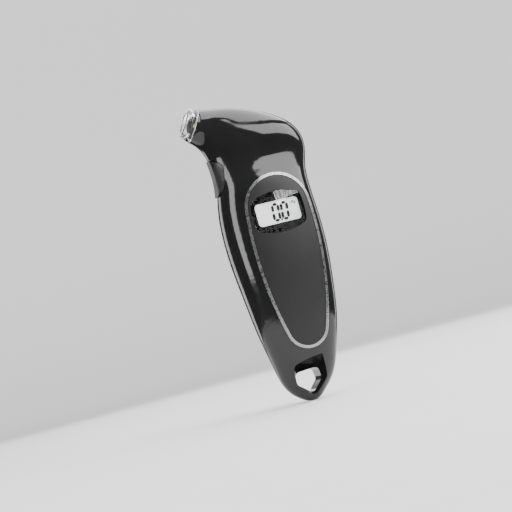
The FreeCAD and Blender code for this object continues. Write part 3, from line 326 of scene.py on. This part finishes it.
def make_characters():
    """The reading 0.0 and its unit on the display."""
    low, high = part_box("lcd_glass")
    centre = (low + high) / 2
    ink = plastic("display_ink", grey(0.002), 0.6, vary=0.4, Specular_IOR_Level=0.1).material
    faint = plastic("faint_display_ink", (0.10, 0.11, 0.10), 0.6, vary=0.1).material
    strokes = ("top", "top_left", "top_right", "low_left", "low_right", "low")
    low_edge = -DIGIT_HEIGHT / 2
    outlines = []
    for number in range(2):
        outlines += digit_bars(FIRST_DIGIT_X + number * DIGIT_STEP, low_edge, strokes)
    point_x = FIRST_DIGIT_X + (DIGIT_WIDTH + DIGIT_STEP) / 2
    point = Vector((point_x, low_edge))
    reach = Vector((SEGMENT_WIDTH, 0)) / 2
    outlines.append(bar(point - reach, point + reach, SEGMENT_WIDTH))
    ink_piece("reading_digits", outlines, centre, low.y, ink)
    ink_piece("unit_mark", unit_bars(), centre, low.y, faint)


# ---------------------------------------------------------------- stage, lights and camera

CAMERA_AZIMUTH = -15.5
CAMERA_ELEVATION = -3.5
CAMERA_ROLL = 15.0
CAMERA_DISTANCE = 0.65
CAMERA_NEAR_END = 0.01
SENSOR_WIDTH = 36.0
PICTURE_SIZE = 512
PICTURE_SCALE = 2.25 / MM
DISPLAY_RIGHT_OF_MIDDLE = 9.5 * MM
DISPLAY_ABOVE_MIDDLE = 19.5 * MM


def towards(azimuth, elevation):
    """A direction from the gauge: azimuth 0 is in front of its display and 90 is on its right."""
    azimuth, elevation = math.radians(azimuth), math.radians(elevation)
    return Vector((math.sin(azimuth) * math.cos(elevation), -math.cos(azimuth) * math.cos(elevation),
                   math.sin(elevation)))


def camera_axes():
    """The camera's right, up and back directions."""
    azimuth = math.radians(CAMERA_AZIMUTH)
    back = towards(CAMERA_AZIMUTH, CAMERA_ELEVATION)
    level = Vector((math.cos(azimuth), math.sin(azimuth), 0.0))
    turn = Matrix.Rotation(-math.radians(CAMERA_ROLL), 3, back)
    return turn @ level, turn @ back.cross(level), back


def make_camera():
    """A long lens that sees the gauge leaning to the left, with its display right of the picture's middle."""
    right, up, back = camera_axes()
    low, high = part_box("lcd_glass")
    display = Vector(((low.x + high.x) / 2, low.y, (low.z + high.z) / 2))
    aim = display - right * DISPLAY_RIGHT_OF_MIDDLE - up * DISPLAY_ABOVE_MIDDLE
    data = bpy.data.cameras.new("camera")
    data.sensor_width = SENSOR_WIDTH
    data.lens = PICTURE_SCALE * SENSOR_WIDTH * CAMERA_DISTANCE / PICTURE_SIZE
    data.clip_start = CAMERA_NEAR_END
    camera = bpy.data.objects.new("camera", data)
    bpy.context.scene.collection.objects.link(camera)
    turn = Matrix((right, up, back)).transposed().to_4x4()
    camera.matrix_world = Matrix.Translation(aim + back * CAMERA_DISTANCE) @ turn
    bpy.context.scene.camera = camera


GLOW_START = 0.6
GLOW_END = 2.4
GLOW = 0.6
CENTRE_RADIUS = 0.0001
REFLECTED_RADIUS = 0.2
FLOOR_RADIUS = 1.6
WALL_BEND = 1.2
WALL_TOP = 3.2
STAGE_STEPS = 96
BEND_STEPS = 16


def make_paper():
    """Pale studio paper that is lit more evenly the further it is from the gauge."""
    paper = plastic("studio_paper", grey(0.62), 0.8, vary=0.01)
    distance = paper.nodes.new("ShaderNodeVectorMath")
    distance.operation = "LENGTH"
    paper.links.new(paper.place, distance.inputs[0])
    glow = paper.spread(distance.outputs["Value"], 0.0, GLOW, GLOW_START, GLOW_END)
    paper.links.new(glow, paper.shader.inputs["Emission Strength"])
    paper.shader.inputs["Emission Color"].default_value = (1.0, 1.0, 1.0, 1.0)
    return paper


def lathe(name, profile):
    """A smooth surface of revolution about the vertical axis from a run of (radius, height)."""
    mesh = bmesh.new()
    turns = [math.tau * step / STAGE_STEPS for step in range(STAGE_STEPS)]
    rings = [[mesh.verts.new((radius * math.cos(a), radius * math.sin(a), height)) for a in turns]
             for radius, height in profile]
    for inner, outer in zip(rings, rings[1:]):
        for step in range(STAGE_STEPS):
            after = (step + 1) % STAGE_STEPS
            mesh.faces.new((inner[step], outer[step], outer[after], inner[after])).smooth = True
    piece = add_piece(name, mesh)
    return piece


def make_stage():
    """A pale round floor that turns up smoothly into a wall far behind the lights.

    Only the disc round the gauge's foot shows in reflections. The rest is kept out of them, so that the
    glossy casing mirrors the soft boxes in a dim room.
    """
    floor = lathe("studio_floor", [(CENTRE_RADIUS, 0.0), (REFLECTED_RADIUS, 0.0)])
    profile = [(REFLECTED_RADIUS, 0.0)]
    for step in range(BEND_STEPS + 1):
        angle = math.pi / 2 * step / BEND_STEPS
        profile.append((FLOOR_RADIUS + WALL_BEND * math.sin(angle), WALL_BEND * (1 - math.cos(angle))))
    profile.append((FLOOR_RADIUS + WALL_BEND, WALL_TOP))
    wall = lathe("studio_wall", profile)
    wall.visible_glossy = False
    paper = make_paper().material
    for piece in (floor, wall):
        piece.data.materials.append(paper)


SOFT_BOXES = (
    # name, azimuth, elevation, distance, width, height, brightness, turn
    ("top_box", 90.0, 70.0, 0.9, 1.5, 0.62, 7.0, -22.0),
    ("front_right_box", 52.0, 28.0, 0.9, 1.25, 0.56, 7.5, 0.0),
    ("left_box", -60.0, 17.0, 0.9, 0.34, 0.8, 8.0, 0.0),
    ("right_back_box", 118.0, 8.0, 1.0, 0.2, 1.0, 3.0, 0.0),
    ("back_left_box", -150.0, 15.0, 1.0, 0.35, 0.9, 3.0, 0.0),
    ("back_right_box", 165.0, 25.0, 1.0, 0.6, 0.6, 3.0, 0.0),
)
ROOM_COLOUR = (0.40, 0.41, 0.43, 1.0)
ROOM_BRIGHTNESS = 0.35


def softbox(name, azimuth, elevation, distance, width, height, brightness, turn):
    """A rectangular lamp that faces the gauge's middle from a direction, turned about its own axis."""
    low, high = cad_box
    middle = (low + high) / 2
    data = bpy.data.lights.new(name, "AREA")
    data.shape = "RECTANGLE"
    data.size = width
    data.size_y = height
    data.energy = brightness * math.pi * width * height
    lamp = bpy.data.objects.new(name, data)
    bpy.context.scene.collection.objects.link(lamp)
    away = towards(azimuth, elevation).normalized()
    lamp.matrix_world = (Matrix.Translation(middle + away * distance)
                         @ away.to_track_quat("Z", "Y").to_matrix().to_4x4()
                         @ Matrix.Rotation(math.radians(turn), 4, "Z"))


def make_lights():
    """Soft boxes round the gauge, whose reflections draw its glossy casing, in a dim room."""
    for soft_box in SOFT_BOXES:
        softbox(*soft_box)
    world = bpy.data.worlds.new("room")
    world.use_nodes = True
    background = world.node_tree.nodes["Background"]
    background.inputs["Color"].default_value = ROOM_COLOUR
    background.inputs["Strength"].default_value = ROOM_BRIGHTNESS
    bpy.context.scene.world = world


# ---------------------------------------------------------------- all of it

def main():
    paint_nodes(make_materials())
    make_characters()
    make_stage()
    make_lights()
    make_camera()


main()
